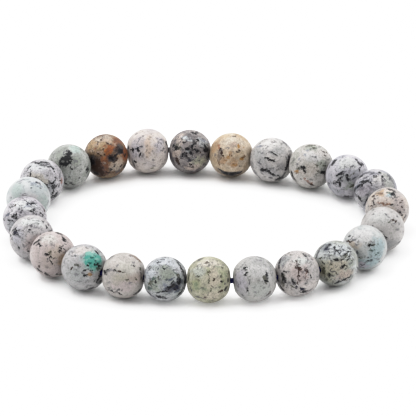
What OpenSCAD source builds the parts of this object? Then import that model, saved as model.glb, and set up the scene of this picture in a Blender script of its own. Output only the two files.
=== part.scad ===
// Stretch bracelet: round drilled stone beads threaded on one closed elastic.
// Lies flat, z = 0 is the surface under the beads, the wrist goes through along Z.

/* [Beads] */
// Diameter of an average bead, across the thread
bead_d = 8; // [7:0.5:10]
// Length of an average bead along the thread, as a share of its diameter
bead_len = 0.936; // [0.92:0.002:0.95]
// Bevel round each mouth of the bore
bevel = 0.15; // [0.05:0.05:0.25]
// Space between touching beads
bead_gap = 0.05; // [0.03:0.01:0.2]
// Space between the two beads where the elastic shows
open_gap = 0.3; // [0.1:0.05:1]

/* [Elastic] */
// Thickness of the elastic
cord_d = 1; // [0.6:0.1:1.2]
// Space between the elastic and the bore, all round
cord_clear = 0.15; // [0.12:0.01:0.25]

/* [Loop] */
// How much longer than wide the loop lies, as a share of its mean radius
oval = 0.141; // [0.08:0.001:0.15]
// Three-cornered part of the loop's outline, as a share of its mean radius
tri = 0.027; // [0:0.001:0.03]
// Direction of its first corner, seen from above
tri_at = 11; // [0:1:119]
// Four-cornered part of the loop's outline, as a share of its mean radius
quad = 0.014; // [0:0.001:0.02]
// Direction of its first corner, seen from above
quad_at = 37; // [0:1:89]
// Five-cornered part of the loop's outline, as a share of its mean radius
penta = 0.01; // [0:0.001:0.012]
// Direction of its first corner, seen from above
penta_at = 20; // [0:1:71]
// Direction of the joint after the first bead, seen from above
start_at = 142; // [130:1:150]

/* [Hidden] */

// One row a bead, clockwise seen from above, from the back left corner.
// WIDER and LONGER: what its diameter and its length have over the average bead.
// OUT: how far the elastic sits outside the loop's outline just after the bead.
WIDER = 0; LONGER = 1; OUT = 2;
BEADS = [
    [ 0.00, -0.10, -0.10],
    [ 0.05,  0.20, -0.10],
    [ 0.15,  0.10,  0.10],
    [-0.05,  0.10, -0.05],
    [ 0.05,  0.15,  0.10],
    [ 0.10,  0.05, -0.10],
    [ 0.15, -0.15, -0.15],
    [-0.15,  0.00,  0.15],
    [-0.15,  0.15,  0.10],
    [-0.15,  0.10, -0.15],
    [-0.10,  0.15, -0.15],
    [-0.05,  0.15,  0.30],
    [ 0.00,  0.10,  0.05],
    [ 0.05,  0.00, -0.25],
    [ 0.05,  0.00,  0.15],
    [ 0.15,  0.15,  0.05],
    [-0.15, -0.20, -0.05],
    [ 0.00, -0.30,  0.05],
    [ 0.15, -0.05, -0.20],
    [ 0.05,  0.00,  0.15],
    [-0.05, -0.10,  0.15],
    [-0.10, -0.15, -0.30],
    [ 0.00, -0.20, -0.05],
    [ 0.00, -0.15,  0.35]
];
N = len(BEADS);
OPEN_AFTER = 14;        // row of the bead before the open gap

function row(i) = (i + N) % N;
function dia(i) = bead_d + BEADS[row(i)][WIDER];
function half(i) = (bead_d * bead_len + BEADS[row(i)][LONGER]) / 2;
function flat(i) = dia(i) / 2 - half(i);    // how much each end of the ball is flattened
function gap(i) = row(i) == OPEN_AFTER ? open_gap : bead_gap;

// The loop's outline, and the joint of the elastic after bead i on it
function outline(th) = 1 + oval * cos(2 * th) + tri * cos(3 * (th - tri_at))
    + quad * cos(4 * (th - quad_at)) + penta * cos(5 * (th - penta_at));
function joint(k, i, th) = (k * outline(th) + BEADS[row(i)][OUT]) * [cos(th), sin(th)];

// The flattened end is a blunt cone, as steep as half the bend b of the elastic there: its tip on the
// thread's line, and the cone at radius r
function tip(i, b) = (half(i) + flat(i) * abs(sin(b / 2))) / cos(b / 2);
function cone(i, b, r) = tip(i, b) - r * abs(tan(b / 2));

// From a bead's centre to a joint where the elastic bends by b, so that the neighbours clear each other by the gap
function reach(i, g, b) = tip(i, b) + g / 2 / cos(b / 2);
function before(i, bends) = reach(i, gap(i - 1), bends[row(i - 1)]);
function after(i, bends) = reach(i, gap(i), bends[row(i)]);

// Angle from joint i to the next one, closing in by proportion
function turn(k, i, th, d, u, n) = n == 0 ? u
    : turn(k, i, th, d, u * d / norm(joint(k, i + 1, th - u) - joint(k, i, th)), n - 1);
function walk(k, bends, i, th) = i == N ? [th]
    : concat([th], walk(k, bends, i + 1,
        th - turn(k, i, th, before(i + 1, bends) + after(i + 1, bends), 360 / N, 5)));

function joints(k, T) = [for (i = [0:N - 1]) joint(k, i, T[i])];
function way(J) = [for (i = [0:N - 1]) let (v = J[i] - J[row(i - 1)]) v / norm(v)];
function bends_of(W) = [for (i = [0:N - 1]) let (a = W[i], b = W[row(i + 1)])
    atan2(a[1] * b[0] - a[0] * b[1], a * b)];

// Mean radius k and the bends, repeated until the last joint meets the first
function settle(k, bends, n) = let (T = walk(k, bends, 0, start_at)) n == 0 ? [k, bends, T]
    : settle(k * (T[0] - T[N]) / 360, bends_of(way(joints(k, T))), n - 1);
LAID = settle(N * bead_d / 6.5, [for (i = [1:N]) 360 / N], 14);
RAW = joints(LAID[0], LAID[2]);
WAY = way(RAW);                                 // direction of the thread through each bead
RAW_MID = [for (i = [0:N - 1]) RAW[row(i - 1)] + WAY[i] * before(i, LAID[1])];

// Middle of the beads' box goes to the origin
SHIFT = [for (a = [0, 1]) (max([for (i = [0:N - 1]) RAW_MID[i][a] + dia(i) / 2])
    + min([for (i = [0:N - 1]) RAW_MID[i][a] - dia(i) / 2])) / 2];
MID = [for (p = RAW_MID) p - SHIFT];            // bead centres
JOINT = [for (p = RAW) p - SHIFT];              // bends of the elastic, joint i after bead i

bore_r = cord_d / 2 + cord_clear;

// Room between the two blunt cones for a bend of b, in the half section of a bead
module between_cones(i, b) {
    w = dia(i);
    polygon([[0, cone(i, b, 0)], [w, cone(i, b, w)], [w, -cone(i, b, w)], [0, -cone(i, b, 0)]]);
}

// Half section of a bead: ball with two blunt ends, bore and bevelled mouths
module bead_section(i) {
    ball = dia(i) / 2;
    in = LAID[1][row(i - 1)];
    out = LAID[1][i];
    mouth = min(cone(i, in, bore_r), cone(i, out, bore_r));
    difference() {
        intersection() {
            circle(r = ball, $fn = 96);
            translate([bore_r, -ball]) square([ball, 2 * ball]);
            between_cones(i, in);
            between_cones(i, out);
        }
        for (s = [-1, 1]) polygon([[bore_r - 1, s * (mouth - bevel - 1)],
            [bore_r + bevel + 1, s * (mouth + 1)], [bore_r - 1, s * (mouth + 1)]]);
    }
}

// A drilled bead in its place on the loop, resting on the surface
module bead(i) {
    translate([MID[i][0], MID[i][1], dia(i) / 2])
        rotate([0, 90, atan2(WAY[i][1], WAY[i][0])])
            rotate_extrude($fn = 96) bead_section(i);
}

module bead_01() { color("#c3c8ba") bead(0); }      // pale grey-green
module bead_02() { color("#9c7454") bead(1); }      // brown
module bead_03() { color("#ddd2c2") bead(2); }      // cream
module bead_04() { color("#a89b90") bead(3); }      // taupe
module bead_05() { color("#d6c6ac") bead(4); }      // beige
module bead_06() { color("#cbcac6") bead(5); }      // pale grey
module bead_07() { color("#c8cabe") bead(6); }      // greenish grey
module bead_08() { color("#d1cfd6") bead(7); }      // lavender white
module bead_09() { color("#b4bac2") bead(8); }      // bluish grey
module bead_10() { color("#dec6aa") bead(9); }      // peach
module bead_11() { color("#dcd9d2") bead(10); }     // white
module bead_12() { color("#cfd8d6") bead(11); }     // white, aqua below
module bead_13() { color("#c0c7ca") bead(12); }     // pale blue
module bead_14() { color("#dcd1ce") bead(13); }     // pinkish white
module bead_15() { color("#d0d1ce") bead(14); }     // grey-white
module bead_16() { color("#c2c2aa") bead(15); }     // pale olive
module bead_17() { color("#cdd3d4") bead(16); }     // bluish white
module bead_18() { color("#dccdbe") bead(17); }     // pinkish cream
module bead_19() { color("#cfd0ce") bead(18); }     // grey-white
module bead_20() { color("#d7c7b8") bead(19); }     // pinkish beige
module bead_21() { color("#cecac6") bead(20); }     // warm grey
module bead_22() { color("#c7c4ca") bead(21); }     // lavender grey
module bead_23() { color("#c6d4cb") bead(22); }     // mint
module bead_24() { color("#d8d6d0") bead(23); }     // white

// The elastic runs straight through each bore and rounds each bend between two rings of points
round_off = 0.4;        // length of a bend's rounding, on each side of its joint
RINGS = [for (i = [0:N - 1]) let (j = row(i + 1), w = WAY[i], v = WAY[j])
    each [[MID[i], w], [JOINT[i] - w * round_off, 3 * w + v], [JOINT[i] + v * round_off, w + 3 * v]]];
SIDES = 8;
module elastic_cord() {
    n = len(RINGS);
    points = [for (r = RINGS) let (v = r[1] / norm(r[1])) for (s = [0:SIDES - 1])
        let (a = 360 * (s + 0.5) / SIDES, q = cord_d / 2 * cos(a))
            [r[0][0] - v[1] * q, r[0][1] + v[0] * q, bead_d / 2 + cord_d / 2 * sin(a)]];
    faces = [for (r = [0:n - 1]) for (s = [0:SIDES - 1])
        let (a = r * SIDES + s, b = r * SIDES + (s + 1) % SIDES,
             c = ((r + 1) % n) * SIDES + (s + 1) % SIDES, d = ((r + 1) % n) * SIDES + s)
            each [[a, b, c], [a, c, d]]];
    color("#232e58") polyhedron(points, faces);
}

bead_01();
bead_02();
bead_03();
bead_04();
bead_05();
bead_06();
bead_07();
bead_08();
bead_09();
bead_10();
bead_11();
bead_12();
bead_13();
bead_14();
bead_15();
bead_16();
bead_17();
bead_18();
bead_19();
bead_20();
bead_21();
bead_22();
bead_23();
bead_24();
elastic_cord();
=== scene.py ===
import bpy, math, random
import numpy as np
from mathutils import Vector, Matrix, noise


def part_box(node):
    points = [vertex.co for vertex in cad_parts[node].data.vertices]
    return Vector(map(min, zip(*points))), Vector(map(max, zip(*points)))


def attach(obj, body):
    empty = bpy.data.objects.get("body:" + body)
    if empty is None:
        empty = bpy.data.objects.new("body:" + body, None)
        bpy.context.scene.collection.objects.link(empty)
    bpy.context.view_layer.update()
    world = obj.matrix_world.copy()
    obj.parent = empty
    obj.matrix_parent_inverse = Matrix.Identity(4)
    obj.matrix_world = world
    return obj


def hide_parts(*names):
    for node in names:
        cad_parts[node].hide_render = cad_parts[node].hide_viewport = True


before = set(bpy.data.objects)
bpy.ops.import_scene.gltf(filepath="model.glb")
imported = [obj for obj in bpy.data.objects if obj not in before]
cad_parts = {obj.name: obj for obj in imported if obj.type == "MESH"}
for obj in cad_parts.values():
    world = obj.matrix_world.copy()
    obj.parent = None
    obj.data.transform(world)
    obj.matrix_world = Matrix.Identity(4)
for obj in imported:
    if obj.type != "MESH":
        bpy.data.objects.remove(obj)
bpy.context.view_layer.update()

MM = 0.001
BEADS = 24
STONE = 0.43            # how much light the stones' colours give back, for a colour named as it looks
BORE_R = 0.65           # mm, radius of each bead's bore
CORD_R = 0.50           # mm, radius of the elastic

# The direction that the object is seen from, and the frame's right and up there
AZIMUTH, ELEVATION, ROLL = math.radians(8.982), math.radians(27.203), -0.01536
BACK = Vector((math.sin(AZIMUTH) * math.cos(ELEVATION), -math.cos(AZIMUTH) * math.cos(ELEVATION), math.sin(ELEVATION)))
LEVEL = Vector((math.cos(AZIMUTH), math.sin(AZIMUTH), 0))
RISE = BACK.cross(LEVEL)
RIGHT = LEVEL * math.cos(ROLL) + RISE * math.sin(ROLL)
UP = RISE * math.cos(ROLL) - LEVEL * math.sin(ROLL)
DISTANCE = 0.89395
EYE = Vector((0, 0, 0.004)) + BACK * DISTANCE


def srgb(r, g, b, k=1.0):
    k = k if isinstance(k, tuple) else (k, k, k)
    return tuple((((c / 255 + 0.055) / 1.055) ** 2.4 if c > 10.3 else c / 255 / 12.92) * q for c, q in zip((r, g, b), k)) + (1.0,)


# ---------------------------------------------------------------- the stones, charted

# Two ground colours of each stone, how coarse its grain is (1 is average), how strong the
# mottling is, how thickly it is peppered with fine specks and how much thin dark veining it has
GROUND = {
    1: ((206, 210, 204), (168, 174, 166), 1.0, 1.1, 0.6, 0.35),
    2: ((180, 150, 126), (118, 86, 64), 1.0, 2.2, 0.9, 0.3),
    3: ((232, 224, 218), (208, 202, 202), 1.0, 0.8, 0.4, 0.25),
    4: ((168, 160, 158), (118, 112, 114), 1.0, 1.8, 1.6, 0.8),
    5: ((236, 224, 207), (214, 196, 172), 1.0, 1.4, 0.05, 0.05),
    6: ((216, 217, 215), (186, 190, 190), 1.0, 1.1, 0.5, 0.35),
    7: ((226, 224, 218), (202, 203, 194), 1.0, 1.1, 0.7, 0.4),
    8: ((224, 222, 229), (196, 196, 204), 1.0, 1.0, 0.4, 0.5),
    9: ((216, 218, 222), (182, 186, 196), 1.0, 1.4, 0.5, 0.5),
    10: ((228, 211, 194), (206, 194, 184), 1.0, 1.2, 0.9, 0.4),
    11: ((228, 226, 224), (208, 207, 204), 1.0, 0.7, 0.2, 0.15),
    12: ((226, 229, 226), (202, 210, 208), 1.0, 0.8, 0.3, 0.2),
    13: ((212, 216, 217), (184, 187, 180), 1.0, 1.4, 1.5, 0.6),
    14: ((228, 219, 217), (204, 198, 198), 1.0, 1.1, 0.9, 0.5),
    15: ((214, 215, 210), (196, 198, 196), 1.0, 0.8, 0.3, 0.15),
    16: ((208, 207, 188), (184, 184, 162), 1.0, 1.3, 0.8, 0.35),
    17: ((214, 217, 219), (186, 193, 191), 1.0, 1.3, 1.0, 0.5),
    18: ((220, 211, 205), (206, 198, 192), 1.0, 0.8, 0.15, 0.1),
    19: ((214, 215, 210), (194, 195, 192), 1.0, 1.0, 0.8, 0.4),
    20: ((223, 208, 201), (205, 190, 184), 1.0, 0.8, 0.4, 0.25),
    21: ((216, 211, 211), (196, 191, 193), 1.0, 1.1, 0.9, 0.5),
    22: ((216, 212, 214), (188, 184, 188), 1.0, 1.5, 1.5, 0.8),
    23: ((224, 234, 232), (204, 219, 216), 1.0, 0.6, 0.2, 0.05),
    24: ((226, 224, 224), (206, 203, 204), 1.0, 1.1, 0.9, 0.8),
}

# How the whole stone leans, in red, green and blue
CAST = {
    1: (1.10, 1.07, 1.09), 2: (1.03, 1.06, 1.00), 3: (1.17, 1.14, 1.13), 4: (1.31, 1.33, 1.32), 5: (1.03, 0.97, 0.91),
    6: (1.26, 1.19, 1.18), 7: (1.11, 1.08, 1.10), 8: (1.10, 1.09, 1.08), 9: (1.05, 1.00, 0.99),
    10: (1.12, 1.19, 1.29), 11: (1.00, 0.98, 0.98), 12: (1.09, 1.05, 1.07), 13: (1.12, 1.11, 1.09),
    14: (1.06, 1.08, 1.06), 15: (1.03, 1.00, 1.01), 16: (1.13, 1.11, 1.09), 17: (1.08, 1.06, 1.07),
    18: (1.03, 1.06, 1.07), 19: (1.085, 1.055, 1.11), 20: (1.09, 1.13, 1.18), 21: (1.13, 1.15, 1.15),
    22: (1.26, 1.27, 1.30), 23: (1.14, 1.05, 1.09), 24: (1.16, 1.16, 1.20),
}

# Soft areas of another colour
TINT = {
    "mist": (202, 208, 202), "mint": (196, 216, 208), "moss": (176, 184, 172), "tan": (198, 168, 136),
    "rust": (158, 92, 54), "orange": (178, 104, 54), "sienna": (140, 86, 56), "char": (56, 50, 44), "umber": (88, 58, 40),
    "pinktan": (204, 188, 178), "peach": (224, 206, 190), "cream": (230, 224, 214), "lav": (204, 202, 210),
    "ice": (212, 218, 222), "olive": (188, 186, 162), "grey": (178, 180, 182), "slate": (128, 134, 144),
    "steel": (86, 92, 100), "aqua": (186, 208, 210), "beige": (212, 204, 188), "fern": (178, 184, 150),
    "turq": (70, 168, 152), "teal": (34, 124, 110), "paleturq": (150, 204, 192), "pink": (220, 204, 202),
    # white is the stones' own pale colour where it lies mid-stone, as on bead 23; near the top of beads 6 to 9, 11, 12,
    # 14, 15, 21, 22 and 24 it is partly the stone's pale colour and partly a painted highlight
    "white": (230, 232, 230), "dusk": (146, 138, 136),
}
# Rows: colour, then across and up from the middle of the stone, half length, half width (all in
# hundredths of its radius) and the direction of the length in degrees from the right
TINTS = {
    1: "mist -9 -46 30 24 0; mint 29 80 24 16 0; moss 33 22 22 18 0; moss -38 30 22 34 0",
    2: "tan -41 55 52 34 10; pinktan -7 84 40 14 0; sienna 56 66 26 16 -40; char 66 34 25 23 0; orange 14 16 44 17 53; rust 92 10 14 32 0; char 29 -12 22 13 -15; umber -54 -48 52 38 -50; char -68 -26 26 20 60; char -60 -66 22 16 -50; sienna -8 -48 28 24 0; pinktan 52 -46 30 24 0; tan 4 -93 34 9 0",
    3: "peach 3 20 50 17 90; cream 29 -84 20 10 0; lav -60 5 44 22 90; lav 55 30 34 18 80",
    # bead 4: the thin ice streak at the upper left is a painted highlight
    4: "pinktan -48 58 30 24 20; pinktan -66 -10 32 20 90; ice -14 58 30 7 -28; olive 42 -45 28 24 0; dusk 20 10 40 40 60; grey 60 40 20 26 0; pinktan 10 -74 40 14 0; grey -6 -4 10 16 20",
    # bead 5: the steel and char bands along the bottom rim are painted shade
    5: "tan 10 -40 24 18 0; tan -36 -28 20 14 30; beige 50 -20 18 22 0; tan -2 6 12 10 0; cream 5 62 44 24 0; dusk -56 4 12 24 0; pinktan 12 44 20 12 0; steel -16 -86 56 7 -6; char 6 -96 50 8 0; tan -70 40 18 22 0",
    # bead 6: the grey area along the right rim (grey 82 -5) is painted shade from the neighbouring bead
    6: "grey 38 -29 24 18 0; grey -20 -52 44 20 -30; grey 82 -5 34 12 85; white -10 70 40 18 0",
    7: "cream -15 -24 36 30 0; moss 48 5 24 20 0; moss 0 82 30 13 0; white 10 40 34 20 0",
    8: "moss 13 -45 24 20 0; grey -12 -10 38 20 0; white 0 60 50 24 0",
    9: "lav -55 5 36 24 20; mist 60 45 26 44 0; grey -50 -34 40 14 25; white 20 55 30 20 0",
    10: "aqua 9 59 18 14 0; orange -14 28 34 6 -3; tan -32 76 18 16 0; pinktan 58 20 28 44 0; peach -10 45 40 20 0",
    11: "grey 0 -74 64 20 0; white -10 50 50 30 0",
    12: "aqua 60 -15 30 62 -20; aqua 20 -72 54 22 15; beige -54 10 28 18 0; lav -15 -80 28 11 0; white -10 62 50 22 0",
    13: "ice 0 62 74 30 0; olive -40 -35 50 38 -20; pinktan 40 -50 40 24 20; moss 55 -8 26 22 60; slate -40 70 24 14 20; beige 10 -15 50 26 10",
    14: "grey -62 58 30 18 60; pink 8 -5 40 44 0; white 20 55 30 16 0",
    15: "lav -62 -15 28 46 10; white 20 30 50 36 0; mist 25 -50 44 26 0",
    16: "beige 22 10 44 26 90; fern -56 -24 26 18 60; beige 8 -74 44 15 0; fern 60 5 34 13 85; cream 0 70 50 18 0; mist -46 34 30 24 0; fern -4 34 10 18 0",
    17: "moss 5 24 36 30 0; ice -10 76 54 18 0; slate 32 -44 42 20 20; steel 34 -40 32 13 35; char 26 -40 24 9 35; steel 66 -6 12 22 60; moss -50 -20 26 36 0; ice -70 20 20 30 0",
    18: "pinktan 50 -10 24 40 80; cream 5 28 44 34 0; beige -14 -22 36 26 0; pink 0 -50 50 24 0",
    19: "paleturq 40 32 44 42 0; mist -40 -30 40 36 0; cream -10 74 44 16 0",
    20: "tan 44 -24 28 30 0; pinktan -20 -42 40 30 0; cream -20 70 40 18 0; peach 10 10 36 30 0",
    21: "pink 20 -32 54 40 0; white 0 70 50 16 0; lav -66 10 18 40 0",
    22: "white 0 62 60 22 0; grey -60 -30 28 30 0",
    23: "white 8 -6 46 26 0; mint -55 40 26 40 20; mint 70 -20 20 44 0",
    24: "beige -10 10 48 24 -20; white -20 66 50 18 0; grey 40 -30 34 20 60",
}

# How much of the ground the soft areas hide
FULL = {i: 0.90 if i in (2, 10, 12, 17) else 0.76 for i in GROUND}

# Mineral marks, and dark strokes of painted shade along the rims where beads meet and along the bottom of bead 5:
# letter, colour, how opaque
INK = {
    "K": ((27, 28, 33), 0.93), "N": ((38, 40, 62), 0.95), "D": ((70, 48, 38), 0.93), "b": ((124, 88, 62), 0.80),
    "r": ((164, 96, 62), 0.76), "o": ((190, 146, 92), 0.80), "y": ((200, 146, 66), 0.85), "O": ((78, 78, 58), 0.86), "E": ((80, 102, 94), 0.82),
    "e": ((140, 158, 132), 0.62), "s": ((138, 146, 166), 0.62), "S": ((86, 94, 114), 0.80), "G": ((90, 88, 96), 0.80),
    "g": ((128, 126, 134), 0.66), "T": ((20, 96, 88), 0.88),
    "t": ((84, 190, 174), 0.90), "p": ((164, 218, 206), 0.80), "w": ((212, 190, 172), 0.62), "i": ((204, 206, 206), 0.66),
}
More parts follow.
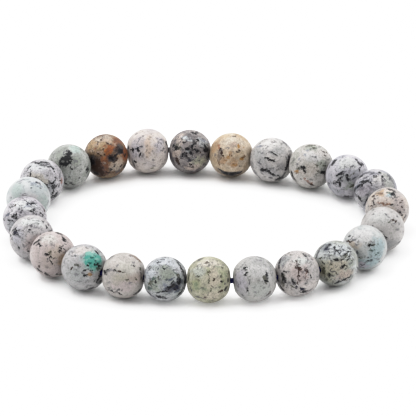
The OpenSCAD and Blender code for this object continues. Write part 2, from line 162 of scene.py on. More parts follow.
# Rows as in TINTS, with the letter of the mark first
MARKS = {
    1: """K 0 60 17 8 -60; K -16 21 25 19 20; K -7 42 15 14 60; K -29 10 12 10 0; K 1 31 8 10 0; G -18 62 13 3 60;
    G -37 3 12 4 35; K 9 -11 8 4 -50; G 52 -27 4 3 60; g 60 -14 3 3 0; K 84 -16 12 6 85; K 49 -54 5 3 20;
    K -14 -79 9 3 -20; K 10 -76 5 3 0; K 19 -82 4 3 -30; g 31 22 10 6 0; g 84 -44 9 3 70; g 44 -4 5 3 30; g 32 -18 6 3 -30""",
    2: """D 31 -9 20 10 -10; K -62 -22 16 6 -80; D 60 27 16 16 0; D -47 -44 29 22 -40; D -38 -73 35 13 -30; K 22 -64 6 5 0;
    K 37 -44 7 3 40; G 55 -67 10 7 20; K 85 -44 12 5 60; D 85 4 9 4 60; D -35 61 6 3 70; D -9 31 5 3 0; D -35 11 7 3 -30;
    D -50 -1 3 3 0; D -22 -1 4 3 30; D -21 73 4 3 0; K 45 5 9 5 40; D 8 -73 12 4 -20; D 42 -21 12 4 30; D 68 -44 7 3 50;
    D -61 19 4 3 60; D 16 51 5 3 40; w -45 50 14 7 10; w -9 72 17 5 0; w -26 18 12 5 -20; w -63 23 9 6 0; w 14 63 10 5 -30;
    w 64 -22 14 10 60; w -9 -31 7 6 0; w 32 -40 6 4 0; w 42 54 9 3 40; r -9 43 7 3 0; r 19 27 9 6 0; r -18 -13 5 8 0;
    r 1 -76 10 6 0; r -50 34 6 3 30; K 66 22 10 12 0; K 25 -12 13 7 0; K -64 -31 12 13 -60; D -9 5 5 3 0; D 5 60 5 3 20;
    K -44 -80 12 6 -40""",
    3: """K -66 0 10 4 -80; K -73 4 6 3 0; N -56 10 13 3 25; N -42 14 14 3 15; K -46 6 10 3 -70; K -39 0 6 3 -80; g -29 14 6 3 0;
    K -34 -18 9 3 75; K -56 -49 4 4 0; g -69 -39 13 3 -70; G -18 67 4 3 0; g -36 52 15 3 60; g -50 76 9 3 40;
    G 41 55 6 3 0; G 59 49 7 3 10; g 47 35 17 3 85; G 63 0 7 3 30; G 72 9 9 3 45; K 85 33 9 3 -70; g 78 -3 6 3 70;
    O 23 -78 10 3 5; g 23 -39 7 3 60; g 46 -45 3 3 0; G -60 -65 18 3 -60; N -88 9 11 3 80; g -82 -22 6 3 -70;
    g -11 -57 7 3 20; g 35 23 6 3 60""",
    4: """K -12 11 9 7 0; K -26 -14 10 10 0; K 1 -7 7 10 20; N -3 -39 9 8 0; K -62 18 9 7 0; K 72 6 10 8 0; i -12 57 19 3 20;
    i 15 34 12 3 -20; i 20 -30 8 3 0; i 52 25 9 3 30; i -49 -21 6 3 60; i 31 57 9 3 50; K 21 83 12 4 -20; K 12 87 6 3 0;
    K 34 85 5 3 20; K 34 54 6 4 0; K -27 41 8 3 15; s 69 48 18 3 -20; K 11 25 20 6 65; K 0 2 9 4 60; K -24 -16 13 6 45;
    K -10 -28 15 5 -70; N -4 -43 9 6 0; K 8 -19 3 3 0; O -62 21 16 8 60; O -47 15 9 4 0; K -68 4 6 3 30; K 31 2 8 5 0;
    K 72 19 15 5 -60; K 81 4 6 3 0; D 46 -7 4 4 0; K 69 10 3 3 0; D -56 -45 17 6 -70; D 11 -73 4 3 0; K 89 -16 17 3 80;
    G -85 -25 17 3 -70; K 27 38 10 3 50; K 18 10 8 3 30; G -14 10 9 3 50; G -39 -25 7 3 0; K 46 19 6 3 -30;
    G 57 32 9 3 -10; G -33 -1 6 3 60; K 2 -60 5 3 0; G 25 -28 6 3 30; G -42 45 5 3 20; G 57 -19 5 3 0; G -65 -19 4 3 0;
    G -10 54 9 3 30; K -76 25 5 3 60; G 40 -42 6 3 0""",
    # bead 5: the dark K and G strokes along the bottom rim are painted shade
    5: """D 13 84 10 3 10; r -56 40 5 4 60; G -45 22 9 7 0; D -41 3 17 4 -70; y 30 44 6 4 80; y 34 34 7 4 75; D 31 15 9 4 15;
    y 46 -18 11 5 20; y 15 -46 10 4 0; y -12 -11 9 5 0; b 55 -12 11 4 25; b -56 -39 17 3 -65; K 40 -51 4 3 0;
    o 16 -44 8 3 0; G -31 -80 30 4 -25; K -5 -87 33 6 0; K -36 -77 19 3 -28; K 35 -82 14 4 30; r -55 33 4 3 0;
    D -51 26 4 5 0; r 33 41 4 3 0; b 10 -40 6 3 0; r 24 -48 4 3 20; b -50 -19 3 6 -60; g -74 1 7 3 60; b 62 -5 5 3 0;
    g 7 18 4 3 0; g -20 31 8 3 10; b -3 -5 5 3 60; o 56 31 5 3 -40; g 35 -76 11 3 30; b -59 -29 4 3 0; o -28 -29 8 3 30""",
    6: """s -62 59 10 5 0; g -49 61 8 3 0; G -54 74 7 3 30; G -54 32 11 3 -10; G -3 33 14 3 10; K 11 25 15 4 -35;
    K -13 2 27 4 -18; G -24 24 4 3 0; G -57 -17 11 3 -50; g -54 -3 8 3 60; K -40 -46 12 7 0; K -24 -41 8 4 60;
    K -13 -55 14 4 -30; K 6 -67 14 4 -20; K 28 -70 6 4 -20; G -5 -82 11 3 -10; K 72 -19 33 5 75; G 55 -63 16 4 50;
    K 33 -84 19 4 25; G 57 74 11 3 -45; g 14 77 4 3 0; g 8 62 4 3 0; g -18 59 3 3 0; g -91 -22 16 3 -65; G 11 -9 7 3 -30;
    g 46 -41 7 3 60; g -73 -57 8 3 -60; G -49 -55 4 3 0; K 79 5 11 3 80""",
    7: """O -3 89 22 3 10; O 13 81 12 3 -5; s -16 69 8 3 20; s -29 49 6 3 -40; s -53 30 8 3 50; D 62 45 6 4 0; D 56 61 3 3 0;
    D 70 59 3 3 0; O 43 12 4 4 0; G 15 39 13 3 0; O 24 2 11 3 -45; K -40 -11 12 8 20; K -29 -24 10 5 -50; O -56 -13 7 4 0;
    y -65 -25 8 5 0; b -64 -30 4 3 0; K 54 -29 12 7 0; O 34 -23 8 5 -30; O 62 -1 8 3 0; r -12 -70 20 4 -36;
    D 0 -82 13 3 -30; K -81 -44 22 3 -65; g -40 64 6 3 40; g -62 8 5 3 60; K -42 -2 4 4 0; g 37 83 5 3 0; G 59 -16 6 4 50;
    g 68 -47 9 3 70""",
    8: """K -62 64 15 5 50; G -82 42 10 3 70; G -67 51 8 3 60; K 47 67 15 4 -55; K 64 54 12 5 -5; K 59 41 10 4 60;
    K 56 26 6 4 80; G 22 43 10 6 20; K -33 10 18 6 20; G -8 18 4 3 0; G -50 26 8 3 -40; K -37 -18 12 4 35;
    G -18 -3 13 3 20; K 1 -10 16 6 -60; O 15 3 15 3 30; K -56 -32 13 6 10; K -34 -39 6 12 0; G -84 -35 8 4 -45;
    O 21 -48 12 4 30; g -24 -62 6 3 0; G -44 -67 3 3 0; K -4 -96 12 5 0; G 20 -95 8 3 0; G 28 -13 8 3 20; g -72 3 5 3 60;
    G -26 -23 7 3 0; g 11 22 6 3 0""",
    9: """K -63 27 30 5 30; K -53 43 19 4 15; K -21 35 10 4 -45; S -86 12 16 5 30; K -18 27 5 3 0; K -3 64 12 4 0;
    G -44 80 27 4 17; G 30 51 19 3 -80; G 41 48 10 4 -60; K 32 62 7 4 -40; G 71 48 16 3 -55; K -97 3 10 4 70;
    K -73 -36 13 4 -50; K -67 -45 4 4 0; G -96 -16 16 4 -60; K -47 -56 16 4 70; K -41 -42 16 3 60; g -70 6 19 6 20;
    G 10 77 8 3 -20; G 63 64 14 3 -50; G 36 26 7 3 60; g -25 13 16 3 -30; G -16 77 6 3 0; G -46 58 14 3 25;
    K -73 64 13 3 30; G -35 -19 10 4 30; K 20 81 6 3 -20""",
    10: """K 13 90 11 3 -10; K 31 82 9 3 -30; G 1 94 6 3 0; K 25 66 10 6 -20; E 9 74 12 5 -20; G 33 52 9 3 20; K 30 70 5 7 0;
    D 64 35 8 3 40; K 18 22 4 7 0; D -64 60 8 4 10; D -65 40 4 4 0; K -62 28 7 4 -60; D -71 15 5 3 0; K 54 -13 15 3 -45;
    K 64 -25 5 3 0; D 68 9 6 3 -50; G 76 -5 4 3 0; G 82 -30 6 4 30; b -13 24 26 3 -3; b -30 72 8 3 0; G 50 21 4 3 60;
    g 50 58 3 3 -50; D -58 50 5 3 -60; G 42 40 3 3 0; g 76 -15 5 3 0""",
    11: """G -42 67 4 4 0; G -39 88 6 3 60; G 16 65 7 3 -30; g 26 56 6 3 -20; G 68 56 5 3 -50; O 32 32 6 3 0; D 46 40 9 3 5;
    D 60 35 5 3 0; g 66 -3 9 3 0; g 94 -12 3 5 0; K -42 13 5 3 0; G -10 -6 10 3 -35; e 38 -18 4 3 0; G 74 -60 12 3 35;
    K 16 -38 10 3 -50; g -36 78 3 3 30; g 52 60 3 3 -40; g 50 24 6 3 -20; g 74 24 4 3 -60""",
    12: """K -65 51 5 4 30; K 26 -56 10 5 20; D -72 27 12 3 -10; G -51 31 10 3 15; K 25 10 12 4 0; O 28 12 18 6 0; G 33 27 11 3 0;
    E 25 -10 7 3 0; E 58 16 3 3 0; E 59 -24 5 4 0; E 51 -34 5 3 0; K 25 -57 12 3 25; G 14 -43 3 3 0; g 6 -64 9 3 30;
    G 65 -61 4 3 0; O -19 -45 9 3 0; G -10 -76 9 3 0; G -32 -22 3 8 0; g -59 37 8 3 20; g -37 16 11 3 -30; E 43 -11 6 3 0;
    g 54 -51 11 3 -20; G -52 44 4 3 30""",
    13: """K -30 75 12 5 20; N -38 61 11 7 0; G -69 57 32 3 57; K -24 81 6 3 0; G -57 71 11 3 40; K -4 67 5 4 0; K 4 53 11 4 -30;
    K 14 57 5 3 60; O -14 36 5 4 0; G -25 31 4 3 0; K 3 15 10 5 10; K 26 18 11 3 15; O 44 28 13 7 20; K 50 41 13 3 40;
    K 60 25 15 3 60; K 58 47 11 3 20; O 71 13 4 3 0; K -53 0 6 4 -20; G 2 -13 5 3 30; O 4 -44 3 3 0; K 35 -13 7 6 0;
    K 47 -11 9 3 -35; O -28 -53 8 9 0; K -25 -55 5 6 0; O -40 -73 10 4 10; G -9 -36 11 5 0; O -52 -36 8 13 0;
    K 39 -72 11 4 28; K 20 -81 24 3 25; K 56 -63 13 3 32; N 20 44 8 3 40; G -4 44 8 3 -50; G -33 47 7 3 30;
    G 34 57 8 3 -30; G 26 71 8 3 20; K -17 60 4 3 0; G 39 39 6 3 60; G -44 36 5 3 0; G -49 20 4 3 30; O -14 -4 6 3 20;
    O 15 -28 8 3 30; g 60 -4 6 3 60; O -62 23 5 4 0""",
    14: """O -28 81 5 4 60; G -46 77 3 3 0; K 32 80 14 4 -45; G 52 76 4 3 0; G 67 59 7 3 -50; G 15 55 9 3 60; D -3 50 5 5 0;
    g 38 48 3 3 0; g -29 39 3 3 0; D 4 32 5 8 0; D -5 24 5 5 0; D 9 18 8 6 -40; D 8 -10 21 3 90; D 41 12 13 5 -55;
    b 38 -5 12 3 75; D 32 -19 5 3 0; b 46 -16 3 3 0; K 60 -13 4 9 0; K -52 6 7 4 -20; O -62 -13 9 9 0; K -62 -10 4 10 0;
    K -57 -32 12 7 -40; O -63 -46 8 10 0; K -52 -21 4 7 0; K -20 -30 3 7 0; K -14 -43 9 4 -60; O -20 -55 10 4 -50;
    K -6 -62 4 4 0; N 2 -58 3 3 0; D 0 -43 4 5 0; N 24 -67 10 5 0; K 30 -79 14 3 10; G 52 -76 17 3 30; G 38 -46 7 3 0;
    g -59 31 3 8 0; g -63 61 9 3 60; K -76 47 27 3 76; g 8 69 3 3 0; b 19 12 3 3 0; G -36 3 3 3 0; K -66 -65 14 3 -50;
    g -47 50 3 3 0; g 57 31 3 3 50""",
    15: """K -40 47 9 4 40; K -37 40 5 3 -40; K -39 19 10 4 40; g -52 24 4 3 0; g -57 33 3 3 0; G -23 -17 11 3 85;
    K -32 -39 5 5 0; K -32 -52 3 6 0; K 54 15 5 12 -5; O 48 -4 8 14 0; K 51 -12 10 4 0; O 41 8 4 7 0; G -52 -70 3 5 0;
    g 2 -57 9 3 -25; D 62 -64 11 4 40; g -81 15 3 5 0; g -77 -19 13 3 -70; g -62 -21 3 7 0; g -74 42 10 3 0;
    g 24 92 15 3 -25; g 63 -29 3 7 0; g -3 -34 7 3 0; g 26 79 7 3 0; g -18 47 3 6 0; g -45 -14 5 3 30; G -70 -29 3 6 -20""",
    # bead 16: the olive-black stroke down the left rim (O -85 10) is painted shade where it meets bead 17
    16: """D -10 72 8 3 35; D -6 34 4 3 0; D 7 34 3 3 0; O 1 22 3 8 0; D 25 -1 5 4 0; K 57 -10 6 4 30; G 70 -17 4 3 0;
    O 53 15 4 6 0; O 58 51 4 4 0; O 85 29 3 8 0; K 83 -2 4 10 0; D 53 -50 10 4 25; K 70 -44 4 7 -60; O 75 -34 8 3 50;
    D -15 -73 6 4 0; G -30 -78 8 3 0; O -43 15 5 5 0; e -54 -22 7 9 0; e -51 -39 10 4 0; e -22 -41 15 4 0;
    G -42 -76 15 3 -10; D -14 -74 4 4 0; O -85 10 3 15 0; O 2 0 3 15 0; O 14 -29 5 3 0; e 70 19 3 10 0; O 9 -44 3 7 0;
    G -73 -44 3 12 -25; e 36 53 10 3 0; G -34 87 15 3 20; O -22 -5 3 3 0""",
    # bead 17: the dark strokes down the right and left rims (K 87 -4, G -96 -4) are painted shade where it meets beads
    # 16 and 18
    17: """G -20 84 16 3 10; K -30 72 12 3 5; G -4 84 3 3 0; K -10 49 12 3 -55; G -31 43 4 4 0; K -72 52 6 3 60; s -87 39 4 4 0;
    s -83 28 6 3 0; G -64 46 3 3 0; O -31 6 4 4 0; K -44 -14 4 6 0; O -65 -17 12 4 40; E -53 1 13 5 30; E -45 -30 13 3 -30;
    K 63 61 13 3 -50; K 76 34 18 3 -75; G 52 82 16 3 -35; K 61 -12 8 12 0; O 58 13 6 10 0; K 28 -17 9 4 40;
    S 23 -2 20 3 20; S 23 -42 15 7 0; K 60 -6 7 9 0; K 24 -40 14 4 42; K 44 -47 6 5 0; K -9 -56 13 4 15; K 13 -40 9 6 0;
    N 48 -40 13 9 0; K -2 -57 13 3 -5; K -30 -60 13 3 15; K -30 -80 11 5 -22; K -5 -83 9 5 -5; s 0 -30 8 6 0;
    K 87 -4 20 3 90; K 68 -60 23 3 55; G -96 -4 15 3 88; G -65 -72 23 3 -40; g 3 61 7 3 40; K 33 -30 8 5 0;
    S 53 -55 13 6 30; E 43 26 8 3 -30; E -70 -42 8 8 0; G 23 -55 10 4 0; s 3 -47 10 4 20""",
    # bead 18: the dark stroke down the right rim (K 79 -3) is painted shade where it meets bead 17
    18: """K -79 19 11 5 20; K -80 12 11 5 -45; g -67 17 3 9 0; K -38 22 7 4 0; g -48 21 6 3 0; D -19 16 10 3 -8; g -56 21 5 3 0;
    D -9 14 15 3 -5; g -27 9 3 3 0; K 43 42 4 3 0; g 35 44 7 3 30; G 29 84 4 3 0; G -54 77 14 3 40; b 56 74 27 3 -36;
    O 73 27 4 6 0; O 12 -18 6 3 0; g 25 -33 7 4 0; O 56 -18 5 3 0; O 48 -13 3 3 0; G -64 -55 10 3 -20; G -66 -63 5 3 0;
    K -49 -71 8 3 -20; G -29 -67 11 3 40; K -17 -80 11 3 -40; G -11 -67 5 3 0; K 63 -74 22 3 38; g -66 -28 6 5 0;
    K 79 -3 3 15 0; g 43 57 7 3 -30; g -27 42 5 3 0; g -44 -60 7 3 30""",
    19: """t 32 34 27 23 20; t 17 56 12 10 0; t 56 44 12 10 0; t 10 37 10 11 0; t 39 -2 15 10 0; t 63 32 11 12 0; p 17 60 12 7 20;
    p 41 -7 10 5 0; p 32 51 8 4 -30; p 51 34 6 4 0; p 10 31 4 5 0; T 34 40 7 5 0; T 46 27 6 5 0; K 51 12 10 5 20;
    K 66 5 7 5 0; K 14 6 5 4 0; O 61 -7 7 5 0; K 54 62 13 3 -45; g 68 69 15 3 -40; b 84 43 3 6 0; K 3 -12 8 3 30;
    K 22 -11 7 3 -10; K 2 -37 11 5 20; o 20 -32 8 6 0; G -5 -27 5 3 0; O -37 10 9 3 25; O -29 8 4 3 -50; D -55 -5 6 3 50;
    G -53 49 5 3 0; G -39 50 6 3 0; g -86 21 3 3 0; g -11 45 10 3 25; g -27 -62 13 3 0; K 63 -54 5 11 0; K 71 -66 8 4 45;
    K 27 -93 13 3 15; g 12 -56 5 3 0; g -37 -32 9 8 0; T 22 17 5 3 0; T 41 49 6 3 -40; g -25 0 5 3 30; G 32 -22 4 3 0;
    K 44 5 4 3 0; g -57 66 6 3 0; G 74 -22 3 10 0""",
    20: """K 26 93 14 3 -20; K 48 65 6 5 -50; K 51 56 5 4 0; K 46 72 3 6 0; G 55 43 4 3 0; G -13 75 4 3 -30; g -6 85 6 3 -20;
    K -74 52 16 3 38; K -62 59 7 3 0; K -57 43 11 4 -25; K -69 40 4 3 0; G -63 49 3 3 0; K 38 32 10 4 25; K 29 14 7 6 0;
    K 55 17 10 3 -50; K -25 -2 9 5 -15; O -12 6 6 8 0; K -10 -11 4 4 0; K -8 -31 6 4 -50; K 0 -41 3 3 0; D 3 -17 5 3 20;
    D -59 -54 5 3 -50; K -59 -70 18 3 -42; K -21 -90 14 3 -28; O 31 -89 14 3 0; K 21 -85 4 3 0; G -26 -19 3 5 0;
    g -52 65 5 3 0; G -37 -5 4 3 0; O 11 7 4 3 0; K 39 23 4 3 0; G -15 -23 3 3 0""",
    21: """K -80 33 12 3 40; N -74 21 8 10 0; K -79 15 6 4 0; K -67 10 4 3 0; K -96 6 3 6 0; G -90 -10 6 3 60; K -70 28 5 3 0;
    K -11 35 4 3 0; G -16 24 5 3 0; G -5 53 8 3 5; g -36 11 3 3 0; K 26 61 6 3 -30; K 50 70 5 4 -30; K 66 44 7 3 -50;
    K 83 30 8 3 10; g 31 42 5 3 0; g 45 34 5 3 -30; G 72 55 6 3 -50; g 22 74 16 3 -8; K 39 12 5 3 40; K 2 -30 7 3 65;
    K -59 -45 3 5 0; K -15 -62 5 3 0; g 0 53 6 3 -30; g 13 44 5 3 0; g -57 1 3 3 0; g -27 39 3 3 0; G -59 30 4 3 0;
    g -30 -39 4 3 60""",
    22: """N 18 70 11 3 -30; K 39 69 11 3 -15; G 54 59 7 3 -40; s 14 56 9 5 0; s 3 54 6 3 0; K 39 40 4 3 0; K 30 34 7 4 0;
    K 41 25 6 3 0; G 20 33 5 3 0; D -44 59 8 3 40; G -64 50 7 3 40; K -28 42 3 7 -10; K -37 17 5 11 -10; G -16 26 7 3 0;
    G -10 35 4 3 0; S -78 17 12 4 20; K -71 -9 5 4 0; K -53 6 8 5 0; K -62 -10 7 4 0; K -94 -4 3 5 0; K -72 -28 4 3 0;
    K -39 1 6 3 0; K 78 12 12 4 30; K 69 22 6 3 0; G 89 19 5 3 0; D 90 35 3 7 0; g 57 47 5 3 0; g 25 51 5 3 0;
    G -23 17 3 3 0; g -57 33 5 3 0; G -87 8 5 3 0; g -5 45 3 3 0; N 7 65 4 3 0; G 50 33 4 3 30; G 32 19 5 3 0;
    K -48 15 3 3 0""",
    23: """g -27 85 25 3 18; G 17 51 4 3 0; G 55 47 4 3 0; g -24 20 10 3 0; g -78 7 3 4 0; s 23 70 12 5 0; N 37 77 7 3 0;
    G 51 70 7 3 -50; g 5 77 8 3 0; s 51 59 14 3 0; g 87 -14 3 7 0; g 26 34 3 3 -60; g -36 72 7 3 10""",
    24: """K -25 83 17 3 -15; K -2 74 20 3 -22; K -55 61 7 3 20; K 9 84 18 3 0; G -2 80 9 3 -10; G 27 77 9 3 -10; K 38 64 9 4 0;
    K 49 56 10 3 -50; K 58 41 6 3 -60; G 21 69 12 3 -35; K 65 12 9 3 -30; K 58 1 12 3 60; K 48 -11 7 3 0; K 59 -22 13 6 20;
    K 51 -51 4 10 0; K 62 -65 7 11 0; K 49 -71 6 8 0; K 4 -5 18 3 -35; K 24 -22 12 3 -45; r 91 1 12 3 80; D 84 0 6 3 0;
    G 81 23 9 3 80; G -5 54 6 3 0; K -51 27 3 14 0; K -29 13 6 3 0; G 78 -22 3 9 0; K 54 -34 6 5 0; g 72 49 4 3 -50;
    K 9 -17 6 3 -30""",
}


def rows(text):
    out = []
    for part in text.replace("\n", " ").split(";"):
        w = part.split()
        out.append((w[0], float(w[1]) / 100, float(w[2]) / 100, float(w[3]) / 100, float(w[4]) / 100, math.radians(float(w[5]))))
    return out


# ---------------------------------------------------------------- the beads' places

def cad_bead(i):
    """Centre, thread direction and radius of bead i in mm, and tip and slope of its blunt ends."""
    name = "bead_%02d" % i
    lo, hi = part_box(name)
    c = (lo + hi) / 2
    co = np.array([tuple(v.co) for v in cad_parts[name].data.vertices]) - np.array(c)
    co /= MM
    R = (hi.z - lo.z) / MM / 2
    d = np.linalg.norm(co, axis=1)
    ring = co[d < d.min() + 0.03]
    w = np.linalg.eigh(ring.T @ ring)[1][:, 2]
    w[2] = 0
    w /= np.linalg.norm(w)
    if np.cross(np.array(c)[:2], w[:2]) > 0:        # clockwise round the loop
        w = -w
    z = co @ w
    rho = np.linalg.norm(co - np.outer(z, w), axis=1)
    z = np.abs(z)
    ball = np.abs(np.hypot(rho, z) - R) < 0.02
    rim = np.flatnonzero(ball)[np.argmax(z[ball])]
    mouth = np.flatnonzero(rho < 0.95)[np.argmax(z[rho < 0.95])]
    slope = float((z[mouth] - z[rim]) / (rho[rim] - rho[mouth]))
    return Vector(c) / MM, Vector(w), R, (float(z[mouth] + slope * rho[mouth]), slope)


PLACES = {i: cad_bead(i) for i in range(1, BEADS + 1)}


# ---------------------------------------------------------------- meshes

def bead_profile(R, tip, slope):
    """Half section of a bead from one mouth of its bore round to the other and back through the bore."""
    top, soft = BORE_R + 0.09, 0.08

    def out(t):                                     # the ball and its blunt end, run softly into each other
        t = min(t, math.pi - t)
        return R - soft * math.log(1 + math.exp((R - tip / (math.cos(t) + slope * math.sin(t))) / soft))
    start = 0.2
    for _ in range(20):
        start = math.asin(top / out(start))
    arc = [(out(t) * math.sin(t), out(t) * math.cos(t)) for t in np.linspace(start, math.pi - start, 89)]
    za = arc[0][1]
    a, c, b = Vector(arc[0]), Vector((BORE_R + 0.015, za - 0.005)), Vector((BORE_R, za - 0.22))
    lip = [a * (1 - t) ** 2 + c * 2 * t * (1 - t) + b * t * t for t in np.linspace(0, 1, 7)[1:]]
    wall = [Vector((BORE_R, z)) for z in np.linspace(-b.y, b.y, 9)[1:-1]]
    down = [Vector((p.x, -p.y)) for p in lip]
    return [Vector(p) for p in arc] + down + wall + list(reversed(lip))


def make_bead(i):
    c, w, R, blunt = PLACES[i]
    side = w.cross(Vector((0, 0, 1))).normalized()
    prof = bead_profile(R, *blunt)
    n, m = 144, len(prof)
    rnd = random.Random(700 + i)
    seed = Vector((rnd.uniform(0, 90), rnd.uniform(0, 90), rnd.uniform(0, 90)))
    pits = []
    for _ in range(26):
        d = Vector((rnd.gauss(0, 1), rnd.gauss(0, 1), rnd.gauss(0, 1))).normalized()
        pits.append((d, rnd.uniform(0.10, 0.26), rnd.uniform(0.012, 0.040)))
    P = np.array([tuple(q) for q in prof])
    ang = np.arange(n) * 2 * math.pi / n
    ring = np.outer(np.cos(ang), np.array(side)) + np.outer(np.sin(ang), np.array((0, 0, 1.0)))
    co = P[None, :, 0, None] * ring[:, None, :] + P[None, :, 1, None] * np.array(w)[None, None, :]
    co = co.reshape(-1, 3)
    rad = np.linalg.norm(co, axis=1)
    unit = co / rad[:, None]
    edge = np.clip((P[:, 0] - BORE_R - 0.25) / 0.5, 0, 1)          # nothing is worn down at the mouths
    edge = np.tile(np.where(np.arange(m) < 89, edge, 0), n)
    sink = np.zeros(len(co))
    for k in range(len(co)):
        if edge[k] > 0:
            u = Vector(unit[k])
            sink[k] = 0.008 + 0.008 * noise.noise(u * 1.3 + seed) + 0.002 * noise.noise(u * 4.0 + seed)
    for d, r, deep in pits:
        q = np.linalg.norm(unit * R - np.array(d) * R, axis=1) / r
        sink += np.where(q < 1, deep * (1 - q * q) ** 2, 0)
    co -= unit * (np.maximum(sink, 0) * edge)[:, None]
    me = bpy.data.meshes.new("stone_bead_%02d" % i)
    a = np.arange(n)[:, None] * m + np.arange(m)[None, :]
    b = np.arange(n)[:, None] * m + (np.arange(m)[None, :] + 1) % m
    a2 = ((np.arange(n)[:, None] + 1) % n) * m + np.arange(m)[None, :]
    b2 = ((np.arange(n)[:, None] + 1) % n) * m + (np.arange(m)[None, :] + 1) % m
    faces = np.stack([a, b, b2, a2], axis=2).reshape(-1, 4)
    me.from_pydata((co * MM).tolist(), [], faces.tolist())
    me.validate()
    turn_out(me)
    me.polygons.foreach_set("use_smooth", [True] * len(me.polygons))
    ob = bpy.data.objects.new("stone_bead_%02d" % i, me)
    bpy.context.scene.collection.objects.link(ob)
    ob.location = c * MM
    return ob


def turn_out(me):
    """Faces of a closed mesh point outwards."""
    import bmesh
    bm = bmesh.new()
    bm.from_mesh(me)
    bmesh.ops.recalc_face_normals(bm, faces=bm.faces)
    if bm.calc_volume(signed=True) < 0:
        bmesh.ops.reverse_faces(bm, faces=bm.faces)
    bm.to_mesh(me)
    bm.free()


def cord_path():
    """Points in mm along the elastic: straight through each bore, rounded at each bend."""
    pts = []
    for i in range(1, BEADS + 1):
        j = i % BEADS + 1
        c, w = PLACES[i][:2]
        d, v = PLACES[j][:2]
        cross = w.x * v.y - w.y * v.x
        t = ((d.x - c.x) * v.y - (d.y - c.y) * v.x) / cross
        J = c + w * t
        a, b = J - w * 0.4, J + v * 0.4
        pts += [c + (a - c) * k / 30 for k in range(30)]
        pts += [a * (1 - s) ** 2 + J * 2 * s * (1 - s) + b * s * s for s in np.linspace(0, 1, 9)[:-1]]
        pts += [b + (d - b) * k / 30 for k in range(30)]
    pts = np.array([(p.x, p.y, 4.0) for p in pts])
    gap = np.linalg.norm(np.roll(pts, -1, 0) - pts, axis=1)
    along = np.concatenate([[0], np.cumsum(gap)])
    closed = np.vstack([pts, pts[:1]])
    n = 1680
    s = np.arange(n) * along[-1] / n
    return np.stack([np.interp(s, along, closed[:, k]) for k in range(3)], 1), along[-1]


def make_elastic():
    path, length = cord_path()
    n, m = len(path), 28
    way = np.roll(path, -1, 0) - np.roll(path, 1, 0)
    way /= np.linalg.norm(way, axis=1)[:, None]
    side = np.cross(way, (0, 0, 1.0))
    strands = 4
    turns = round(length / 2.6)                    # a strand goes once round in 2.6 mm
    th = np.arange(m) * 2 * math.pi / m
    s = np.arange(n)[:, None] * 2 * math.pi * turns / n
    one = np.abs(np.cos(strands * (th[None, :] + s) / 2))
    two = np.abs(np.cos(strands * (th[None, :] - s) / 2))
    over = 0.5 + 0.5 * np.sin(strands * th)[None, :]
    r = CORD_R * (0.86 + 0.13 * np.maximum(one * (0.75 + 0.25 * over), two * (1 - 0.25 * over)))
    co = path[:, None, :] + r[:, :, None] * (np.cos(th)[None, :, None] * side[:, None, :]
                                             + np.sin(th)[None, :, None] * np.array((0, 0, 1.0)))
    a = np.arange(n)[:, None] * m + np.arange(m)[None, :]
    b = np.arange(n)[:, None] * m + (np.arange(m)[None, :] + 1) % m
    a2 = ((np.arange(n)[:, None] + 1) % n) * m + np.arange(m)[None, :]
    b2 = ((np.arange(n)[:, None] + 1) % n) * m + (np.arange(m)[None, :] + 1) % m
    me = bpy.data.meshes.new("braided_elastic")
    me.from_pydata((co.reshape(-1, 3) * MM).tolist(), [], np.stack([a, b, b2, a2], 2).reshape(-1, 4).tolist())
    me.validate()
    turn_out(me)
    me.polygons.foreach_set("use_smooth", [True] * len(me.polygons))
    ob = bpy.data.objects.new("braided_elastic", me)
    bpy.context.scene.collection.objects.link(ob)
    return ob


# ---------------------------------------------------------------- materials

class Graph:
    def __init__(self, name):
        self.mat = bpy.data.materials.new(name)
        self.mat.use_nodes = True
        self.tree = self.mat.node_tree
        self.tree.nodes.clear()
        self.x = 0

    def add(self, kind, ins, **props):
        n = self.tree.nodes.new(kind)
        n.location = (self.x, 0)
        self.x += 20
        for k, v in props.items():
            setattr(n, k, v)
        for k, v in ins.items():
            if isinstance(v, bpy.types.NodeSocket):
                self.tree.links.new(v, n.inputs[k])
            else:
                n.inputs[k].default_value = v
        return n

    def math(self, op, a, b=0.0, c=None, clamp=False):
        ins = {0: a, 1: b}
        if c is not None:
            ins[2] = c
        return self.add("ShaderNodeMath", ins, operation=op, use_clamp=clamp).outputs[0]

    def vec(self, op, a, b=(0, 0, 0), out=0):
        return self.add("ShaderNodeVectorMath", {0: a, 1: b}, operation=op).outputs[out]

    def noise(self, at, scale, detail, rough=0.5):
        n = self.add("ShaderNodeTexNoise", {"Vector": at, "Scale": scale, "Detail": detail, "Roughness": rough})
        return n.outputs["Fac"], n.outputs["Color"]

    def ramp(self, v, a, b, lo=0.0, hi=1.0, kind="SMOOTHSTEP"):
        return self.add("ShaderNodeMapRange", {0: v, 1: a, 2: b, 3: lo, 4: hi}, interpolation_type=kind).outputs[0]

    def mix(self, f, a, b, blend="MIX"):
        n = self.add("ShaderNodeMix", {}, data_type="RGBA", blend_type=blend)
        for k, v in ((0, f), (6, a), (7, b)):
            if isinstance(v, bpy.types.NodeSocket):
                self.tree.links.new(v, n.inputs[k])
            else:
                n.inputs[k].default_value = v
        return n.outputs[2]

    def spot(self, at, place):
        """1 in the middle of a mark, 0.41 at its edge, 0 from 1.7 times its size on."""
        loc, rot, size = place
        m = self.add("ShaderNodeMapping", {"Vector": at, "Location": loc, "Rotation": rot, "Scale": size}, vector_type="TEXTURE")
        return self.add("ShaderNodeTexGradient", {"Vector": m.outputs[0]}, gradient_type="SPHERICAL").outputs["Fac"]


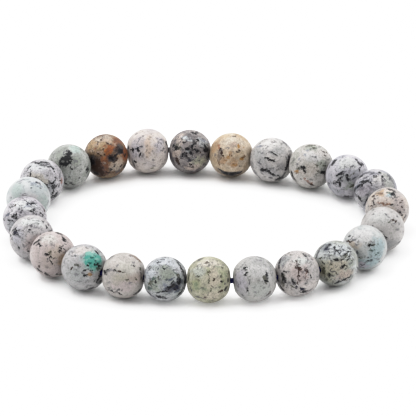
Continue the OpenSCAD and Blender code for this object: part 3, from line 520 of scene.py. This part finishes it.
def place_of(right, up, front, u, v, a, b, t, sign=1):
    """Location, rotation and size on the unit ball of a mark seen at (u, v)."""
    q = math.hypot(u, v)
    if q > 0.95:
        u, v = u * 0.95 / q, v * 0.95 / q
    w = math.sqrt(1 - u * u - v * v)
    d = right * u + up * v + front * w

    def lift(cx, cy):                                # a step in the picture, laid on the ball
        return right * cx + up * cy - front * ((u * cx + v * cy) / max(w, 0.40))
    X = lift(math.cos(t), math.sin(t)) * a
    Y = lift(-math.sin(t), math.cos(t)) * b
    x = X.normalized()
    x = (x - d * x.dot(d)).normalized()
    y = d.cross(x)
    size = (1.7 * X.length, 1.7 * max(abs(Y.dot(y)), 0.6 * b), 1.2)
    if sign < 0:
        d, x = -d, -x
    rot = Matrix((x, d.cross(x), d)).transposed().to_euler("XYZ")
    return tuple(d), tuple(rot), size


def stone(i):
    g = Graph("stone_%02d" % i)
    c, w, R = PLACES[i][:3]
    front = (EYE - c * MM).normalized()
    right = (RIGHT - front * RIGHT.dot(front)).normalized()
    up = front.cross(right)
    light, dark, coarse, mottle, pepper, vein = GROUND[i]
    lean = tuple(STONE * c for c in CAST[i])
    rnd = random.Random(40 + i)
    shift = (rnd.uniform(-20, 20), rnd.uniform(-20, 20), rnd.uniform(-20, 20))
    spin = rnd.uniform(0, 2 * math.pi)

    co = g.add("ShaderNodeTexCoord", {}).outputs["Object"]
    P = g.vec("MULTIPLY", co, (1 / (R * MM),) * 3)
    S = g.vec("ADD", P, shift)
    broad = g.noise(S, 1.6 * coarse, 2, 0.5)[0]
    mid, midc = g.noise(S, 6.0 * coarse, 4, 0.62)
    fine = g.noise(S, 19.0 * coarse, 3, 0.6)[0]
    ragged = g.vec("MULTIPLY", g.vec("SUBTRACT", midc, (0.5, 0.5, 0.5)), (0.14,) * 3)
    T = g.vec("ADD", S, ragged)
    grain = g.add("ShaderNodeTexVoronoi", {"Vector": T, "Scale": 11.0 * coarse, "Randomness": 1.0}, feature="F1")
    shard = g.vec("MULTIPLY", g.vec("SUBTRACT", grain.outputs["Color"], (0.5, 0.5, 0.5)), (0.075,) * 3)
    Q = g.vec("ADD", g.vec("ADD", P, ragged), shard)
    wide = g.vec("MULTIPLY", g.vec("SUBTRACT", g.noise(S, 3.4, 2, 0.5)[1], (0.5, 0.5, 0.5)), (0.55,) * 3)
    W = g.vec("ADD", g.vec("ADD", P, ragged), wide)
    blur = g.math("ADD", g.math("MULTIPLY", g.math("SUBTRACT", mid, 0.5), 0.55), g.math("MULTIPLY", g.math("SUBTRACT", fine, 0.5), 0.30))
    pick = g.add("ShaderNodeSeparateColor", {0: grain.outputs["Color"]}).outputs

    # ground: two colours and the soft areas, among them painted highlights near the tops and painted shade at some rims
    col = g.mix(g.ramp(broad, 0.34, 0.66), srgb(*light, lean), srgb(*dark, lean))
    marks = rows(MARKS[i])
    for name, u, v, a, b, t in rows(TINTS[i]):
        q = g.math("ADD", g.spot(W, place_of(right, up, front, u, v, a, b, t)), blur)
        col = g.mix(g.ramp(q, 0.20, 0.66, 0.0, FULL[i]), col, srgb(*TINT[name], lean))
    # the same soft areas again on the far side of the ball, painted highlights and painted shade included
    for name, u, v, a, b, t in rows(TINTS[i]):
        u, v = u * math.cos(spin) - v * math.sin(spin), u * math.sin(spin) + v * math.cos(spin)
        if math.hypot(u, v) < 0.8:
            q = g.math("ADD", g.spot(W, place_of(right, up, front, u, v, a, b, t + spin, -1)), blur)
            col = g.mix(g.ramp(q, 0.20, 0.66, 0.0, FULL[i]), col, srgb(*TINT[name], lean))

    # grains, mottling, and grains that are darker than the rest
    tone = g.math("ADD", g.math("MULTIPLY", g.math("SUBTRACT", pick[0], 0.5), 0.17 * mottle),
                  g.math("MULTIPLY", g.math("SUBTRACT", mid, 0.5), 0.58 * mottle))
    tone = g.math("ADD", tone, g.math("MULTIPLY", g.math("SUBTRACT", fine, 0.5), 1.0 * mottle))
    tone = g.math("ADD", tone, 1.0)
    col = g.mix(1.0, col, g.add("ShaderNodeCombineColor", {0: tone, 1: tone, 2: tone}).outputs[0], "MULTIPLY")
    patch = g.noise(S, 3.1, 2, 0.6)[0]
    where = g.math("MULTIPLY", g.ramp(patch, 0.44, 0.58), g.ramp(pick[1], 0.84 - 0.05 * pepper, 0.90 - 0.05 * pepper))
    col = g.mix(g.math("MULTIPLY", where, min(0.85, 0.35 + 0.30 * pepper) * min(1, pepper / 0.3)), col, srgb(76, 74, 80, STONE))
    speck = g.ramp(fine, 0.60, 0.70, 0.0, min(0.6, 0.18 + 0.25 * pepper) * min(1, pepper / 0.3))
    col = g.mix(speck, col, srgb(92, 88, 94, STONE))

    # thin broken veins between the crystals
    cell = g.add("ShaderNodeTexVoronoi", {"Vector": T, "Scale": 6.5 * coarse, "Randomness": 1.0}, feature="DISTANCE_TO_EDGE").outputs["Distance"]
    thin = g.ramp(g.math("ADD", cell, g.math("MULTIPLY", g.math("SUBTRACT", fine, 0.5), 0.16)), 0.01, 0.06, 1.0, 0.0)
    thin = g.math("MULTIPLY", thin, g.ramp(patch, 0.42, 0.58, 0.15, 1.0))
    col = g.mix(g.math("MULTIPLY", thin, vein), col, srgb(70, 68, 76, STONE))

    # charted marks by colour, those on the far side are the same ones turned round the ball
    worn = g.math("ADD", g.math("MULTIPLY", g.math("SUBTRACT", fine, 0.5), -0.75),
                  g.math("MULTIPLY", g.math("SUBTRACT", mid, 0.5), -0.45))
    dark_mask = None
    for ink in "gewiGsStpETroyObDNK":
        mine = [m for m in marks if m[0] == ink]
        if not mine:
            continue
        near = None
        for _, u, v, a, b, t in mine:
            q = g.spot(Q, place_of(right, up, front, u, v, a, b, t))
            near = q if near is None else g.math("MAXIMUM", near, q)
            if math.hypot(u, v) < 0.86:
                u, v = u * math.cos(spin) - v * math.sin(spin), u * math.sin(spin) + v * math.cos(spin)
                q = g.spot(Q, place_of(right, up, front, u, v, a, b, t + spin, -1))
                near = g.math("MAXIMUM", near, q)
        colour, opaque = INK[ink]
        edge = g.math("ADD", near, worn)
        if ink in "KND":
            halo = g.ramp(edge, 0.03, 0.36, 0.0, 0.38)
            col = g.mix(halo, col, srgb(120, 116, 122, STONE))
        mask = g.math("MULTIPLY", g.ramp(edge, 0.25, 0.38, 0.0, opaque), g.ramp(pick[2], 0.78, 0.84, 1.0, 0.55))
        col = g.mix(mask, col, srgb(*colour, STONE))
        if ink in "KND":
            dark_mask = mask if dark_mask is None else g.math("MAXIMUM", dark_mask, mask)

    rough = g.ramp(fine, 0.3, 0.7, 0.36, 0.48, "LINEAR")
    shine = 0.24
    if dark_mask is not None:
        shine = g.math("SUBTRACT", 0.24, g.math("MULTIPLY", dark_mask, 0.14))
    height = g.math("ADD", g.math("MULTIPLY", fine, 0.6), g.math("MULTIPLY", mid, 0.4))
    bump = g.add("ShaderNodeBump", {"Height": height, "Strength": 0.20, "Distance": 0.00006})
    bsdf = g.add("ShaderNodeBsdfPrincipled", {"Base Color": col, "Roughness": rough, "Normal": bump.outputs[0],
                                              "IOR": 1.50, "Specular IOR Level": shine})
    out = g.add("ShaderNodeOutputMaterial", {0: bsdf.outputs[0]})
    return g.mat


def elastic_material():
    g = Graph("elastic_navy")
    co = g.add("ShaderNodeTexCoord", {}).outputs["Object"]
    S = g.vec("MULTIPLY", co, (1000.0,) * 3)
    fibre, _ = g.noise(S, 9.0, 3, 0.7)
    wide, _ = g.noise(S, 1.6, 2, 0.5)
    col = g.mix(g.ramp(fibre, 0.35, 0.68), srgb(3, 5, 60, 0.5), srgb(14, 18, 120, 0.5))
    col = g.mix(g.ramp(wide, 0.3, 0.7, 0.0, 0.35), col, srgb(6, 8, 84, 0.5))
    bump = g.add("ShaderNodeBump", {"Height": fibre, "Strength": 0.5, "Distance": 0.00003})
    rough = g.ramp(fibre, 0.3, 0.7, 0.55, 0.75, "LINEAR")
    bsdf = g.add("ShaderNodeBsdfPrincipled", {"Base Color": col, "Roughness": rough, "Normal": bump.outputs[0],
                                              "Specular IOR Level": 0.2})
    g.add("ShaderNodeOutputMaterial", {0: bsdf.outputs[0]})
    return g.mat


# ---------------------------------------------------------------- the object

for i in range(1, BEADS + 1):
    piece = make_bead(i)
    piece.data.materials.append(stone(i))
    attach(piece, "root")
    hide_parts("bead_%02d" % i)

elastic = make_elastic()
elastic.data.materials.append(elastic_material())
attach(elastic, "root")
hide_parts("elastic_cord")

# ---------------------------------------------------------------- floor, light, camera

scene = bpy.context.scene
scene.view_settings.view_transform = "Standard"
scene.view_settings.look = "None"
scene.view_settings.exposure = 0.0
scene.view_settings.gamma = 1.0

# Bright tones roll off towards white as on a studio photograph: light that arrives, how white it shows
ROLL_OFF = [(0.10, 0.095), (0.20, 0.205), (0.30, 0.33), (0.40, 0.455), (0.50, 0.585), (0.60, 0.705), (0.70, 0.80),
            (0.80, 0.87), (0.90, 0.915), (1.00, 0.945), (1.10, 0.965), (1.20, 0.985)]
WHITE = 1.32
scene.view_settings.use_curve_mapping = True
tones = scene.view_settings.curve_mapping
tones.white_level = (WHITE, WHITE, WHITE)
tones.extend = "HORIZONTAL"
for light, shown in ROLL_OFF:
    tones.curves[3].points.new(light / WHITE, shown)
tones.update()

me = bpy.data.meshes.new("floor")
me.from_pydata([(x, y, z) for z in (0, -0.004) for x, y in ((-6, -6), (6, -6), (6, 6), (-6, 6))], [], [(0, 1, 2, 3), (7, 6, 5, 4)])
floor = bpy.data.objects.new("floor", me)
scene.collection.objects.link(floor)
# The floor is a white panel with a faint glowing patch under the front row, a painted glow set as strong as the light
# shadow of the front row asks for, and plain below
g = Graph("floor_white")
at = g.add("ShaderNodeTexCoord", {}).outputs["Object"]
# painted glow: an emitting spot on the floor under the front row
front_row_glow = g.spot(at, ((0.0095, -0.0255, 0), (0, 0, 0), (0.0195, 0.0185, 1)))
bsdf = g.add("ShaderNodeBsdfPrincipled", {"Base Color": (0.90, 0.90, 0.90, 1), "Roughness": 0.9, "Specular IOR Level": 0.1,
                                          "Emission Color": (1, 1, 1, 1), "Emission Strength": g.ramp(front_row_glow, 0.1, 0.55, 0, 0.18)})
g.add("ShaderNodeOutputMaterial", {0: bsdf.outputs[0]})
me.materials.append(g.mat)
g = Graph("floor_below")
bsdf = g.add("ShaderNodeBsdfPrincipled", {"Base Color": (0.90, 0.90, 0.90, 1), "Roughness": 0.9, "Specular IOR Level": 0.1})
g.add("ShaderNodeOutputMaterial", {0: bsdf.outputs[0]})
me.materials.append(g.mat)
me.polygons[1].material_index = 1

world = bpy.data.worlds.new("studio")
scene.world = world
world.use_nodes = True
world.node_tree.nodes["Background"].inputs[0].default_value = (1.0, 1.0, 1.0, 1)
world.node_tree.nodes["Background"].inputs[1].default_value = 0.35


# Soft round panels over the back and the sides of the object: degrees round from the front
# towards the right, degrees up from the floor, power in watts
PANELS = [
    (0, 90, 7.9), (60, 62, 10.4), (120, 62, 26.1), (180, 62, 20.5), (240, 62, 48.2), (300, 62, 23.5),
    (90, 30, 33.7), (135, 30, 25.7), (180, 30, 15.0), (225, 30, 20.6), (270, 30, 31.3), (315, 30, 8.3),
]
for round_by, raised, power in PANELS:
    data = bpy.data.lights.new("panel_%03d_%02d" % (round_by, raised), "AREA")
    data.shape = "DISK"
    data.size = 1.8
    data.energy = power
    lamp = bpy.data.objects.new(data.name, data)
    scene.collection.objects.link(lamp)
    a, e = math.radians(round_by), math.radians(raised)
    lamp.location = Vector((math.sin(a) * math.cos(e), -math.cos(a) * math.cos(e), math.sin(e))) * 3.3
    lamp.rotation_mode = "QUATERNION"
    lamp.rotation_quaternion = lamp.location.to_track_quat("Z", "Y")

cam = bpy.data.cameras.new("camera")
cam.sensor_width = 36.0
cam.lens = 437.00
cam.shift_x, cam.shift_y = 4.320 / 416, 6.640 / 416
cam.clip_start, cam.clip_end = 0.05, 20.0
cam.dof.use_dof = False
camera = bpy.data.objects.new("camera", cam)
scene.collection.objects.link(camera)
m = Matrix((RIGHT, UP, BACK)).transposed().to_4x4()
m.translation = EYE
camera.matrix_world = m
scene.camera = camera
